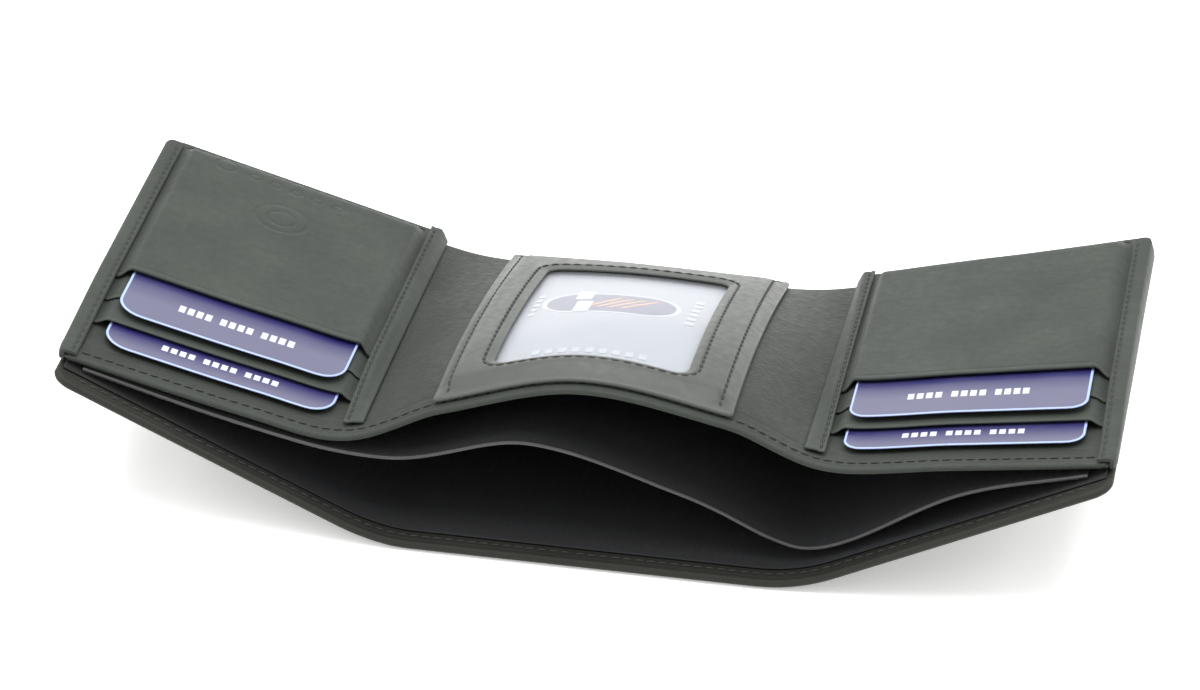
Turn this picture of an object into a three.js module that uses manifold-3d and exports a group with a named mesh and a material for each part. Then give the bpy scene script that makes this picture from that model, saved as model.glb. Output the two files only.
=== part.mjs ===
// A trifold leather wallet lying open on its cover: a centre panel, two raised wings, and an open note
// compartment along the near long edge. Millimetres, +Z up, X along the wallet, +Y towards the sewn far edge.
import * as THREE from "three";
import Module from "manifold-3d";

const wasm = await Module();
wasm.setup();

// ---- overall sizes
const HALF_LENGTH = 116; // middle to outer end, as it lies
const HEIGHT = 110; // far sewn edge to near edge of the cover
const TIP_SWING = 3.8; // how far the outer ends lean back
const FAR_Y = (HEIGHT - TIP_SWING) / 2; // centres the whole length and depth on the origin
const LINER_DEPTH = 103.5; // far edge to near edge of the inner panels
const DIVIDER_DEPTH = LINER_DEPTH + 0.5;

// ---- leather and lining
const COVER_THICK = 1.6;
const LINING_THICK = 0.4;
const DIVIDER_THICK = 0.6;
const LINER_THICK = 1.2;
const POCKET_THICK = 0.5;
const FRONT_THICK = 0.8;
const GAP = 0.3; // between two sewn layers
const PRESS = 0.2; // between layers squeezed together at a seam
const HEM_WIDTH = 4.5; // turned edges
const HEM_RISE = 0.25;
const THREAD = 0.6;
const THREAD_RISE = 0.3;

// ---- folds
const COVER_FOLD_FAR = 40;
const FOLD_EASE = 0.12; // share of a wing over which the cover bends up
const JOIN = 0.3; // gap between a panel and a fold strip
const COVER_CENTRE = 38;
const LINER_CENTRE = 34.2;
const DIVIDER_CENTRE = 36;
const WING_INNER = 48; // inner edge of each wing's inner panels

// ---- heights along the near and far edges
const TIP_FAR_Z = 19.5;
const TIP_NEAR_Z = 32.3;
const ARCH_Z = 39.2; // the bowed centre panel
const CENTRE_PUFF = 1.5; // how soon the centre panel rises from its far edge
const LINER_TIP_Z = 35.1;
const SIDES = {
  left: {
    sign: -1, coverFold: 44, shoulder: [31, 30.2], dip: [51, 22.5], mid: [73, 25.6],
    divider: { tip: 32, mid: [80, 24.4], inner: [52, 19.1], low: [37, 18.6] },
  },
  right: {
    sign: 1, coverFold: 50, shoulder: [32, 34.1], dip: [53, 28.3], mid: [81, 31.2],
    divider: { tip: 32, mid: [83, 24.3], inner: [58.5, 9.3], low: [47, 6.6] },
  },
};
const DIVIDER_INSET = 6; // from the divider's ends to the wallet's
const DIVIDER_END = HALF_LENGTH - DIVIDER_INSET;
const DIVIDER_CREST = [-11, 25.4];
const DIVIDER_SLOPE = [23, 16];

// ---- wing pockets and cards
const POCKET_OUTER = 114.8;
const STRIP_WIDTH = 4.6; // strip that covers the pockets' inner ends
const STRIP_END = 98;
const STRIP_OUTER = WING_INNER + 0.4 + STRIP_WIDTH;
const BINDING_INNER = 111.9;
const MOUTH_PITCH = 9.6;
const MOUTH_FRONT = 68; // far edge to each pocket's mouth
const MOUTH_MIDDLE = MOUTH_FRONT + MOUTH_PITCH;
const MOUTH_BACK = MOUTH_MIDDLE + MOUTH_PITCH;
const CARD_THICK = 0.4;
const CARD_ROOM = 0.6; // play on each side of a card
const HEM_CLEAR = 1.05; // lifts a back card over the near hem as it slides
const CARD_WIDTH = 52;
const CARD_LENGTH = 76;
const CARD_CORNER = 4;
const CARD_MIDDLE = 82.4;
const CARD_FRONT_SEAT = 9; // far edge to where a card rests in its pocket
const CARD_BACK_SEAT = 19.5;
const CARD_FRONT_END = CARD_FRONT_SEAT + CARD_LENGTH;
const CARD_BACK_END = CARD_BACK_SEAT + CARD_LENGTH;
const PINCH = 3.1; // width over which the layers close at the side seams
const PINCH_FAR = 8;

// ---- centre window
const FRAME_HALF = 32.6;
const FRAME_END = 98.6;
const FRAME_THICK = 1.2;
const WINDOW = { half: 20.8, far: 18, near: 91, corner: 3.5 };
const FILM_THICK = 0.3;
const FILM_MARGIN = 5.4;
const ID_THICK = 0.5;
const ID_ROOM = 0.5;
const ID_HALF = 25.2;
const ID_FAR = 11;
const ID_NEAR = 95.5;

const { lerp, smoothstep } = THREE.MathUtils;
const sum = (...heights) => heights.reduce((a, b) => a + b, 0);
const span = (a, b, n) => Array.from({ length: n + 1 }, (_, i) => lerp(a, b, i / n));

// A smooth height through points given as [position, height].
function heightThrough(points) {
  const n = points.length;
  const slope = points.map((_, i) => {
    const [a, b] = [points[Math.max(0, i - 1)], points[Math.min(n - 1, i + 1)]];
    return (b[1] - a[1]) / (b[0] - a[0]);
  });
  return (x) => {
    let i = 0;
    while (i < n - 2 && x > points[i + 1][0]) i++;
    const [[x0, z0], [x1, z1]] = [points[i], points[i + 1]];
    const h = x1 - x0;
    const t = (x - x0) / h;
    const [t2, t3] = [t * t, t * t * t];
    return (
      (2 * t3 - 3 * t2 + 1) * z0 + (t3 - 2 * t2 + t) * h * slope[i] +
      (3 * t2 - 2 * t3) * z1 + (t3 - t2) * h * slope[i + 1]
    );
  };
}

// Stops with more between them wherever two are further apart than gap.
const filled = (values, gap) =>
  values.flatMap((a, i) => {
    const b = values[i + 1] ?? a;
    const n = Math.max(1, Math.ceil((b - a) / gap - 1e-6));
    return Array.from({ length: n }, (_, k) => a + ((b - a) * k) / n);
  });

const mirrored = ([x, z]) => [-x, z];
const { left: L, right: R } = SIDES;
const linerNear = heightThrough([
  [-HALF_LENGTH, LINER_TIP_Z], mirrored(L.mid), mirrored(L.dip), mirrored(L.shoulder), [-1, ARCH_Z],
  R.shoulder, R.dip, R.mid, [HALF_LENGTH, LINER_TIP_Z],
]);
const dividerNear = heightThrough([
  [-DIVIDER_END, L.divider.tip], mirrored(L.divider.mid), mirrored(L.divider.inner), mirrored(L.divider.low),
  DIVIDER_CREST, DIVIDER_SLOPE, R.divider.low, R.divider.inner, R.divider.mid, [DIVIDER_END, R.divider.tip],
]);

const COVER_STACK = sum(COVER_THICK, 0.1, LINING_THICK);
const DIVIDER_MIDDLE = sum(COVER_STACK, GAP, DIVIDER_THICK / 2);
const LINER_TOP = sum(DIVIDER_MIDDLE, DIVIDER_THICK / 2, GAP, LINER_THICK);

const swing = (x) => (TIP_SWING * Math.max(0, Math.abs(x) - 40)) / (HALF_LENGTH - 40);

function bend(q) {
  if (q < -FOLD_EASE) return 0;
  return q > FOLD_EASE ? q : (q + FOLD_EASE) ** 2 / (4 * FOLD_EASE);
}

// The three sheets of the wallet. Each gives a point for a place x along it and a depth v from the far edge.
const coverZ = (x, v) => {
  const t = v / HEIGHT;
  const fold = lerp(COVER_FOLD_FAR, x < 0 ? L.coverFold : R.coverFold, t);
  return lerp(TIP_FAR_Z, TIP_NEAR_Z, t) * bend((Math.abs(x) - fold) / (HALF_LENGTH - fold));
};
const swell = (x, t) => {
  const puffed = 1 - (1 - Math.min(t, 1)) ** CENTRE_PUFF;
  return lerp(puffed, t, smoothstep(Math.abs(x), LINER_CENTRE, STRIP_OUTER));
};
const drawnIn = (x, near) => lerp(near, 0.995, smoothstep(Math.abs(x), 30, 60));
const cover = (x, v) => new THREE.Vector3(x, FAR_Y + swing(x) - v, coverZ(x, v));
const divider = (x, v) =>
  new THREE.Vector3(
    x,
    FAR_Y + swing(x) - v * drawnIn(x, 0.97),
    lerp(coverZ(x, 0) + DIVIDER_MIDDLE, dividerNear(x), swell(x, v / DIVIDER_DEPTH)),
  );
const liner = (x, v) =>
  new THREE.Vector3(
    x,
    FAR_Y + swing(x) - v * drawnIn(x, 0.955),
    lerp(coverZ(x, 0) + LINER_TOP, linerNear(x), swell(x, v / LINER_DEPTH)),
  );

function normalOf(sheet, x, v) {
  const e = 0.05;
  const along = sheet(x + e, v).sub(sheet(x - e, v));
  const across = sheet(x, v - e).sub(sheet(x, v + e));
  return along.cross(across).normalize();
}

const group = new THREE.Group();
group.name = "trifold_wallet";

function add(name, geometry, colour, roughness = 0.7, metalness = 0) {
  const mesh = new THREE.Mesh(geometry, new THREE.MeshStandardMaterial({ color: colour, roughness, metalness }));
  mesh.name = name;
  group.add(mesh);
  return mesh;
}

const LEATHER = 0x3b3c3a;
const GRAINED = 0x333432;
const LINING = 0x222325;
const STITCH = 0x1b1b1b;
const CARD = 0xa9aed2;

// A flat slab bent onto a sheet: bottom and top are heights above it, as numbers or as functions of x and v.
// round gives the radius of each corner in the order inner-far, outer-far, outer-near, inner-near by x.
function bent({ sheet, xs, vs, bottom, top, round = [0, 0, 0, 0] }) {
  const [nx, nv] = [xs.length - 1, vs.length - 1];
  const box = new THREE.BoxGeometry(1, 1, 1, nx, nv, 1);
  const at = box.attributes.position;
  const value = (h, x, v) => (typeof h === "function" ? h(x, v) : h);
  const [x0, x1, v0, v1] = [xs[0], xs[nx], vs[0], vs[nv]];
  const corners = [
    [x0, v0, 1, 1], [x1, v0, -1, 1], [x1, v1, -1, -1], [x0, v1, 1, -1],
  ];
  for (let k = 0; k < at.count; k++) {
    let x = xs[Math.round((at.getX(k) + 0.5) * nx)];
    let v = vs[Math.round((0.5 - at.getY(k)) * nv)];
    corners.forEach(([cx, cv, sx, sv], i) => {
      const r = round[i];
      const a = r ? 1 - ((x - cx) * sx) / r : -1;
      const b = r ? 1 - ((v - cv) * sv) / r : -1;
      if (a <= 0 || b <= 0) return;
      const shrink = Math.max(a, b) / Math.hypot(a, b);
      x = cx + sx * r * (1 - a * shrink);
      v = cv + sv * r * (1 - b * shrink);
    });
    const h = at.getZ(k) > 0 ? value(top, x, v) : value(bottom, x, v);
    const p = sheet(x, v).addScaledVector(normalOf(sheet, x, v), h);
    at.setXYZ(k, p.x, p.y, p.z);
  }
  return box;
}

// Stops from a to b with extra stops close to either end, for rounded corners and turned edges.
function stops(a, b, n, nearA = [], nearB = []) {
  const dir = Math.sign(b - a);
  const start = nearA.length ? a + dir * nearA.at(-1) : a;
  const end = nearB.length ? b - dir * nearB.at(-1) : b;
  const head = nearA.length ? [0, ...nearA.slice(0, -1)].map((d) => a + dir * d) : [];
  const tail = nearB.length ? [...nearB.slice(0, -1)].reverse().concat(0).map((d) => b - dir * d) : [];
  return [...head, ...span(start, end, n), ...tail];
}

// Signed ranges run from the smaller x to the larger, whichever side they are on.
const sided = (side, inner, outer, n, nearInner = [], nearOuter = []) => {
  const xs = stops(inner, outer, n, nearInner, nearOuter).map((x) => x * side.sign);
  return side.sign < 0 ? xs.reverse() : xs;
};
const roundOuter = (side, far, near) => (side.sign < 0 ? [far, 0, 0, near] : [0, far, near, 0]);

const CORNER = 4;
const cornerStops = [CORNER / 3, (2 * CORNER) / 3, CORNER];
const hemTop = (thick, depth) => (x, v) => thick + (v > depth - HEM_WIDTH + 0.01 ? HEM_RISE : 0);
const hemStops = [HEM_WIDTH - 0.05, HEM_WIDTH];

// ---- centre and fold strips of cover, lining, divider and liner
const coverVs = stops(0, HEIGHT, 9, cornerStops, [...cornerStops, ...hemStops]);
const liningVs = stops(GAP, HEIGHT - HEM_WIDTH - GAP, 9);
const dividerVs = stops(0, DIVIDER_DEPTH, 11);
const linerVs = stops(0, LINER_DEPTH, 11, [], hemStops);
const coverTop = hemTop(COVER_THICK, HEIGHT);
const linerTop = (x, v) => (v > LINER_DEPTH - HEM_WIDTH + 0.01 ? HEM_RISE : 0);
const LINING_FROM = COVER_THICK + 0.1;

const layers = {
  cover: { sheet: cover, vs: coverVs, bottom: 0, top: coverTop, colour: LEATHER, half: COVER_CENTRE },
  lining: {
    sheet: cover, vs: liningVs, bottom: LINING_FROM, top: LINING_FROM + LINING_THICK, colour: LINING,
    half: COVER_CENTRE,
  },
  divider: {
    sheet: divider, vs: dividerVs, bottom: -DIVIDER_THICK / 2, top: DIVIDER_THICK / 2, colour: LINING,
    half: DIVIDER_CENTRE,
  },
  liner: { sheet: liner, vs: linerVs, bottom: -LINER_THICK, top: linerTop, colour: GRAINED, half: LINER_CENTRE },
};
const wingStart = {
  cover: (side) => side.coverFold + 4,
  lining: (side) => side.coverFold + 4,
  divider: () => WING_INNER,
  liner: () => WING_INNER,
};
for (const [name, { sheet, vs, bottom, top, colour, half }] of Object.entries(layers)) {
  const slab = (xs) => bent({ sheet, xs, vs, bottom, top });
  add(`${name}_centre`, slab(stops(-half, half, 12)), colour);
  for (const [word, side] of Object.entries(SIDES)) {
    const start = wingStart[name](side);
    add(`${name}_fold_${word}`, slab(sided(side, half + JOIN, start - JOIN, 5)), colour);
  }
}

// ---- the two wings
const OPEN = (() => {
  const cardBack = HEM_CLEAR;
  const back = cardBack + CARD_THICK + CARD_ROOM;
  const middle = back + POCKET_THICK + PRESS;
  const cardFront = middle + POCKET_THICK + CARD_ROOM;
  return { cardBack, back, middle, cardFront, front: cardFront + CARD_THICK + CARD_ROOM };
})();
const SHUT = (() => {
  const back = PRESS + 0.1;
  const middle = back + POCKET_THICK + PRESS;
  return { back, middle, front: middle + POCKET_THICK + PRESS };
})();
const openness = (x, v) => {
  const a = Math.abs(x);
  return (
    smoothstep(a, STRIP_OUTER + 0.2, STRIP_OUTER + 0.2 + PINCH) *
    (1 - smoothstep(a, BINDING_INNER - 0.2 - PINCH, BINDING_INNER - 0.2)) *
    smoothstep(v, 0.5, PINCH_FAR)
  );
};
const pocketLift = (key) => (x, v) => lerp(SHUT[key], OPEN[key], openness(x, v));
// Height of the squeezed stack under the edge strips at depth v, with a short slope at each mouth.
const stackAt = (v) =>
  sum(
    GAP,
    HEM_RISE * smoothstep(v, LINER_DEPTH - HEM_WIDTH - 1.5, LINER_DEPTH - HEM_WIDTH - 0.2),
    (POCKET_THICK + PRESS) * (1 - smoothstep(v, MOUTH_BACK + 0.3, MOUTH_BACK + 2.3)),
    (POCKET_THICK + PRESS) * (1 - smoothstep(v, MOUTH_MIDDLE + 0.3, MOUTH_MIDDLE + 2.3)),
    (FRONT_THICK + PRESS) * (1 - smoothstep(v, MOUTH_FRONT + 0.3, MOUTH_FRONT + 2.3)),
  );
const STRIP_THICK = 0.7;
const ROW = 5; // longest facet of a strip down the panel

for (const [word, side] of Object.entries(SIDES)) {
  const coverStart = wingStart.cover(side);
  const round = roundOuter(side, CORNER, CORNER);
  add(
    `cover_${word}`,
    bent({
      sheet: cover, xs: sided(side, coverStart, HALF_LENGTH, 8, [], cornerStops), vs: coverVs,
      bottom: 0, top: coverTop, round,
    }),
    LEATHER,
  );
  add(
    `lining_${word}`,
    bent({
      sheet: cover, xs: sided(side, coverStart, POCKET_OUTER, 8), vs: liningVs,
      bottom: LINING_FROM, top: LINING_FROM + LINING_THICK,
    }),
    LINING,
  );
  add(
    `divider_${word}`,
    bent({
      sheet: divider, xs: sided(side, WING_INNER, DIVIDER_END, 9), vs: dividerVs,
      bottom: -DIVIDER_THICK / 2, top: DIVIDER_THICK / 2,
    }),
    LINING,
  );
  add(
    `liner_${word}`,
    bent({
      sheet: liner, xs: sided(side, WING_INNER, POCKET_OUTER, 9, [0.4, 0.4 + STRIP_WIDTH / 2, 0.4 + STRIP_WIDTH]),
      vs: linerVs, bottom: -LINER_THICK, top: linerTop,
    }),
    LEATHER,
  );
  const ease = [PINCH / 3, (2 * PINCH) / 3, PINCH];
  const pocketXs = sided(
    side, WING_INNER + 0.4, POCKET_OUTER, 8,
    [STRIP_WIDTH / 2, STRIP_WIDTH + 0.2, ...ease.map((d) => d + STRIP_WIDTH + 0.2)],
    [POCKET_OUTER - BINDING_INNER + 0.2, ...ease.map((d) => d + POCKET_OUTER - BINDING_INNER + 0.2)],
  );
  const farStops = [PINCH_FAR / 4, PINCH_FAR / 2, PINCH_FAR];
  const pocket = (name, key, mouth, thick) =>
    add(
      `${name}_${word}`,
      bent({
        sheet: liner, xs: pocketXs, vs: stops(0, mouth, 6, farStops),
        bottom: pocketLift(key), top: (x, v) => pocketLift(key)(x, v) + thick,
      }),
      LEATHER,
    );
  pocket("pocket_back", "back", MOUTH_BACK, POCKET_THICK);
  pocket("pocket_middle", "middle", MOUTH_MIDDLE, POCKET_THICK);
  pocket("pocket_front", "front", MOUTH_FRONT, FRONT_THICK);

  const card = (name, lift, end) =>
    add(
      `${name}_${word}`,
      bent({
        sheet: liner,
        xs: stops(
          side.sign * CARD_MIDDLE - CARD_WIDTH / 2, side.sign * CARD_MIDDLE + CARD_WIDTH / 2, 6,
          [CARD_CORNER / 2, CARD_CORNER], [CARD_CORNER / 2, CARD_CORNER],
        ),
        vs: stops(end - CARD_LENGTH, end, 7, [CARD_CORNER / 2, CARD_CORNER], [CARD_CORNER / 2, CARD_CORNER]),
        bottom: lift, top: lift + CARD_THICK, round: [1, 1, 1, 1].map((k) => k * CARD_CORNER),
      }),
      CARD, 0.35,
    );
  card("card_back", OPEN.cardBack, CARD_BACK_END);
  card("card_front", OPEN.cardFront, CARD_FRONT_END);

  // strip over the pockets' inner ends
  const steps = [MOUTH_FRONT, MOUTH_MIDDLE, MOUTH_BACK].flatMap((m) => [m + 0.3, m + 1.3, m + 2.3]);
  const stripVs = filled([0, MOUTH_FRONT - 4, ...steps, STRIP_END], ROW);
  add(
    `edge_strip_${word}`,
    bent({
      sheet: liner, xs: sided(side, WING_INNER + 0.4, STRIP_OUTER, 2), vs: stripVs,
      bottom: (x, v) => stackAt(v), top: (x, v) => stackAt(v) + STRIP_THICK,
    }),
    LEATHER,
  );
  // the cover's outer end turned up and over the pockets
  const wall = POCKET_OUTER + GAP;
  const hemAt = LINER_DEPTH - HEM_WIDTH;
  const bindVs = filled([CORNER, MOUTH_FRONT - 4, ...steps, hemAt - 1.5, hemAt - 0.2, LINER_DEPTH - 0.4], ROW);
  const drop = sum(LINER_THICK, 0.05);
  add(
    `end_binding_${word}`,
    bent({
      sheet: liner, xs: sided(side, BINDING_INNER, HALF_LENGTH, 1, [wall - 0.02 - BINDING_INNER], [HALF_LENGTH - wall]),
      vs: bindVs,
      bottom: (x, v) => (Math.abs(x) > wall - 0.01 ? -drop : stackAt(v)),
      top: (x, v) => stackAt(v) + STRIP_THICK,
    }),
    LEATHER,
  );
  // threads
  const cord = (name, x, vs, lift) =>
    add(
      `${name}_${word}`,
      bent({
        sheet: liner, xs: sided(side, x - THREAD / 2, x + THREAD / 2, 1), vs,
        bottom: (a, v) => lift(v) + 0.05, top: (a, v) => lift(v) + 0.05 + THREAD_RISE,
      }),
      STITCH, 0.9,
    );
  const stripTop = (v) => stackAt(v) + STRIP_THICK;
  cord("inner_seam", STRIP_OUTER - 1.0, stripVs.map((v) => Math.max(v, 1)), stripTop);
  cord("outer_seam", BINDING_INNER + 1.0, bindVs, stripTop);
  add(
    `hem_seam_${word}`,
    bent({
      sheet: liner, xs: sided(side, WING_INNER + 1, BINDING_INNER - 0.4, 10),
      vs: span(LINER_DEPTH - 3.4, LINER_DEPTH - 3.4 + THREAD, 1),
      bottom: HEM_RISE + 0.12, top: HEM_RISE + 0.12 + THREAD_RISE,
    }),
    STITCH, 0.9,
  );
}

// ---- the centre: ID card, clear film, bowed leather frame with a window
const idLift = ID_ROOM;
const filmLift = idLift + ID_THICK + ID_ROOM;
const frameLift = filmLift + FILM_THICK + 0.15;
const frameShut = PRESS;
const frameOpen = (x, v) =>
  (1 - smoothstep(Math.abs(x), FRAME_HALF - 4, FRAME_HALF)) * smoothstep(v, 0.5, PINCH_FAR);
const frameBottom = (x, v) => lerp(frameShut, frameLift, frameOpen(x, v));
add(
  "id_card",
  bent({
    sheet: liner, xs: stops(-ID_HALF, ID_HALF, 8), vs: stops(ID_FAR, ID_NEAR, 9), bottom: idLift,
    top: idLift + ID_THICK,
  }),
  0xdfe1e8, 0.4,
);
const filmHalf = WINDOW.half + FILM_MARGIN;
add(
  "window_film",
  bent({
    sheet: liner, xs: stops(-filmHalf, filmHalf, 10), vs: stops(WINDOW.far - 6, WINDOW.near + 4, 10),
    bottom: filmLift, top: filmLift + FILM_THICK,
  }),
  0xf4f6fa, 0.08,
);

function rounded(x0, y0, x1, y1, r) {
  const shape = new THREE.Shape();
  shape.moveTo(x0 + r, y0).lineTo(x1 - r, y0).quadraticCurveTo(x1, y0, x1, y0 + r).lineTo(x1, y1 - r);
  shape.quadraticCurveTo(x1, y1, x1 - r, y1).lineTo(x0 + r, y1).quadraticCurveTo(x0, y1, x0, y1 - r);
  return shape.lineTo(x0, y0 + r).quadraticCurveTo(x0, y0, x0 + r, y0);
}

// A frame's solid less an upright cutter, back as three.js geometry.
function cutOut(geometry, cutter) {
  const solid = (g) => {
    const points = g.index ? g.toNonIndexed() : g;
    const mesh = new wasm.Mesh({
      numProp: 3,
      vertProperties: new Float32Array(points.attributes.position.array),
      triVerts: Uint32Array.from({ length: points.attributes.position.count }, (_, i) => i),
    });
    mesh.merge();
    return new wasm.Manifold(mesh);
  };
  const out = solid(geometry).subtract(solid(cutter)).getMesh();
  const cut = new THREE.BufferGeometry();
  cut.setAttribute("position", new THREE.BufferAttribute(out.vertProperties, 3));
  cut.setIndex(new THREE.BufferAttribute(out.triVerts, 1));
  return cut;
}
const planY = (v) => FAR_Y - v * 0.955;
const opening = new THREE.ExtrudeGeometry(
  rounded(-WINDOW.half, planY(WINDOW.near), WINDOW.half, planY(WINDOW.far), WINDOW.corner),
  { depth: 90, bevelEnabled: false, curveSegments: 5 },
);
const frameXs = stops(-FRAME_HALF, FRAME_HALF, 12, [1.3, 2.7, 4], [1.3, 2.7, 4]);
const frameVs = stops(0, FRAME_END, 12, [2, 4, 8]);
add(
  "window_frame",
  cutOut(
    bent({
      sheet: liner, xs: frameXs, vs: frameVs, bottom: frameBottom,
      top: (x, v) => frameBottom(x, v) + FRAME_THICK,
    }),
    opening,
  ),
  0x4a4c49, 0.5,
);
const frameTop = (x, v) => frameBottom(x, v) + FRAME_THICK + 0.05;
const frameCord = (name, xs, vs) =>
  add(
    name,
    bent({ sheet: liner, xs, vs, bottom: frameTop, top: (x, v) => frameTop(x, v) + THREAD_RISE }),
    STITCH, 0.9,
  );
for (const [word, side] of Object.entries(SIDES)) {
  const x = FRAME_HALF - 3.2;
  frameCord(
    `frame_seam_${word}`, sided(side, x - THREAD / 2, x + THREAD / 2, 1), stops(1, FRAME_END - 1, 12, [1, 3, 7]),
  );
}
// the ring of thread round the window
const ring = { half: WINDOW.half + 2.2, far: WINDOW.far - 2.6, near: WINDOW.near + 2.6 };
const ringXs = stops(-ring.half - THREAD, ring.half + THREAD, 10, [THREAD], [THREAD]);
const ringVs = stops(ring.far - THREAD, ring.near + THREAD, 12, [THREAD], [THREAD]);
const ringGap = new THREE.ExtrudeGeometry(
  rounded(-ring.half, planY(ring.near), ring.half, planY(ring.far), WINDOW.corner),
  { depth: 90, bevelEnabled: false, curveSegments: 5 },
);
add(
  "window_seam",
  cutOut(
    bent({ sheet: liner, xs: ringXs, vs: ringVs, bottom: frameTop, top: (x, v) => frameTop(x, v) + THREAD_RISE }),
    ringGap,
  ),
  STITCH, 0.9,
);
add(
  "hem_seam_centre",
  bent({
    sheet: liner, xs: stops(-LINER_CENTRE + 0.5, LINER_CENTRE - 0.5, 12),
    vs: span(LINER_DEPTH - 3.4, LINER_DEPTH - 3.4 + THREAD, 1),
    bottom: HEM_RISE + 0.05, top: HEM_RISE + 0.05 + THREAD_RISE,
  }),
  STITCH, 0.9,
);

export default group;
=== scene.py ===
import math

import bpy
import numpy as np
from mathutils import Matrix, Vector


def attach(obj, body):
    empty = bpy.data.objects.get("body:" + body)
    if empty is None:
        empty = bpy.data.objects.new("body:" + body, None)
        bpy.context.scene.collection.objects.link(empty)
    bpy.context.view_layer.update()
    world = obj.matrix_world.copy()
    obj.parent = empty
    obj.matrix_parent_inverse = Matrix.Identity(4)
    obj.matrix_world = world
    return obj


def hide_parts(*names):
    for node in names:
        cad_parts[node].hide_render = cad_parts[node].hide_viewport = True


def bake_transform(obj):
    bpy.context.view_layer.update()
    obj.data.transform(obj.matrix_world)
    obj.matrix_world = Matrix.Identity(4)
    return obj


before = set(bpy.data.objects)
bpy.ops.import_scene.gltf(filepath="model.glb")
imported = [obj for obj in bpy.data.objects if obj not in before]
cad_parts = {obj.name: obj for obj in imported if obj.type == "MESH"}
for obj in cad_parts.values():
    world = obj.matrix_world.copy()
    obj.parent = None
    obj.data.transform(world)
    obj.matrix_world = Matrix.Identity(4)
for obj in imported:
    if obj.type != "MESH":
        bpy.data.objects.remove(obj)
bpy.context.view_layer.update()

# ------------------------------------------------------------------ the wallet's sheets, in millimetres
LENGTH, DEPTH, LEAN = 116.0, 110.0, 3.8
FAR = (DEPTH - LEAN) / 2
LINER, DIVIDER = 103.5, 104.0
COVER_T, LINING_T, DIVIDER_T, LINER_T = 1.6, 0.4, 0.6, 1.2
POCKET_T, FRONT_T, CARD_T = 0.5, 0.8, 0.4
HEM, HEM_RISE = 4.5, 0.25
MOUTHS = {"front": 68.0, "middle": 77.6, "back": 87.2}
STRIP_IN, STRIP_OUT, STRIP_T = 48.4, 53.0, 0.7
BIND_IN, POCKET_OUT = 111.9, 114.8
FRAME_HALF, FRAME_END, FRAME_T = 32.6, 101.0, 1.2
WINDOW = (20.8, 18.0, 91.0, 3.5)
LAYER_GAP, LINING_GAP = 0.3, 0.1
TIP_FAR_Z, TIP_NEAR_Z = 19.5, 32.3
FOLD_FAR, FOLD_NEAR = 40.0, {"left": 44.0, "right": 50.0}
FOLD_EASE = 0.12
LINER_CENTRE = 34.2
DIVIDER_END = 110.0
CARD_MIDDLE, CARD_HALF, CARD_LENGTH = 82.4, 26.0, 76.0
CARD_ENDS = {"card_front": 85.0, "card_back": 95.5}
STITCH_PITCH, STITCH_SHARE, STITCH_WIDE, STITCH_TALL, STITCH_SLANT = 2.6, 0.78, 0.3, 0.2, 0.06
SIDES = {"left": -1, "right": 1}


def ease(a, lo, hi):
    t = np.clip((a - lo) / (hi - lo), 0, 1)
    return t * t * (3 - 2 * t)


def mix(a, b, t):
    return a + (b - a) * t


def through(points):
    X, Z = np.array(points, float).T
    n = len(X)
    lo, hi = np.maximum(np.arange(n) - 1, 0), np.minimum(np.arange(n) + 1, n - 1)
    S = (Z[hi] - Z[lo]) / (X[hi] - X[lo])

    def at(x):
        i = np.clip(np.searchsorted(X, x, side="right") - 1, 0, n - 2)
        h = X[i + 1] - X[i]
        t = (x - X[i]) / h
        return (
            (2 * t**3 - 3 * t**2 + 1) * Z[i]
            + (t**3 - 2 * t**2 + t) * h * S[i]
            + (3 * t**2 - 2 * t**3) * Z[i + 1]
            + (t**3 - t**2) * h * S[i + 1]
        )

    return at


liner_near = through([
    (-116, 35.1), (-73, 25.6), (-51, 22.5), (-31, 30.2), (-1, 39.2),
    (32, 34.1), (53, 28.3), (81, 31.2), (116, 35.1),
])
divider_near = through([
    (-110, 32), (-80, 24.4), (-52, 19.1), (-37, 18.6), (-11, 25.4),
    (23, 16), (47, 6.6), (58.5, 9.3), (83, 24.3), (110, 32),
])
COVER_STACK = COVER_T + LINING_GAP + LINING_T
DIVIDER_MID = COVER_STACK + LAYER_GAP + DIVIDER_T / 2
LINER_TOP = DIVIDER_MID + DIVIDER_T / 2 + LAYER_GAP + LINER_T


def swing(x):
    return LEAN * np.maximum(0, np.abs(x) - FOLD_FAR) / (LENGTH - FOLD_FAR)


def cover_z(x, v):
    t = v / DEPTH
    fold = mix(FOLD_FAR, np.where(x < 0, FOLD_NEAR["left"], FOLD_NEAR["right"]), t)
    q = (np.abs(x) - fold) / (LENGTH - fold)
    eased = (q + FOLD_EASE) ** 2 / (4 * FOLD_EASE)
    bent = np.where(q < -FOLD_EASE, 0, np.where(q > FOLD_EASE, q, eased))
    return mix(TIP_FAR_Z, TIP_NEAR_Z, t) * bent


def swell(x, t):
    return mix(1 - (1 - np.minimum(t, 1)) ** 1.5, t, ease(np.abs(x), LINER_CENTRE, STRIP_OUT))


def drawn(x, near):
    return mix(near, 0.995, ease(np.abs(x), 30, 60))


def cover(x, v):
    return np.stack([x, FAR + swing(x) - v, cover_z(x, v)], -1)


def divider(x, v):
    z = mix(cover_z(x, 0 * v) + DIVIDER_MID, divider_near(x), swell(x, v / DIVIDER))
    return np.stack([x, FAR + swing(x) - v * drawn(x, 0.97), z], -1)


def liner(x, v):
    z = mix(cover_z(x, 0 * v) + LINER_TOP, liner_near(x), swell(x, v / LINER))
    return np.stack([x, FAR + swing(x) - v * drawn(x, 0.955), z], -1)


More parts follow.
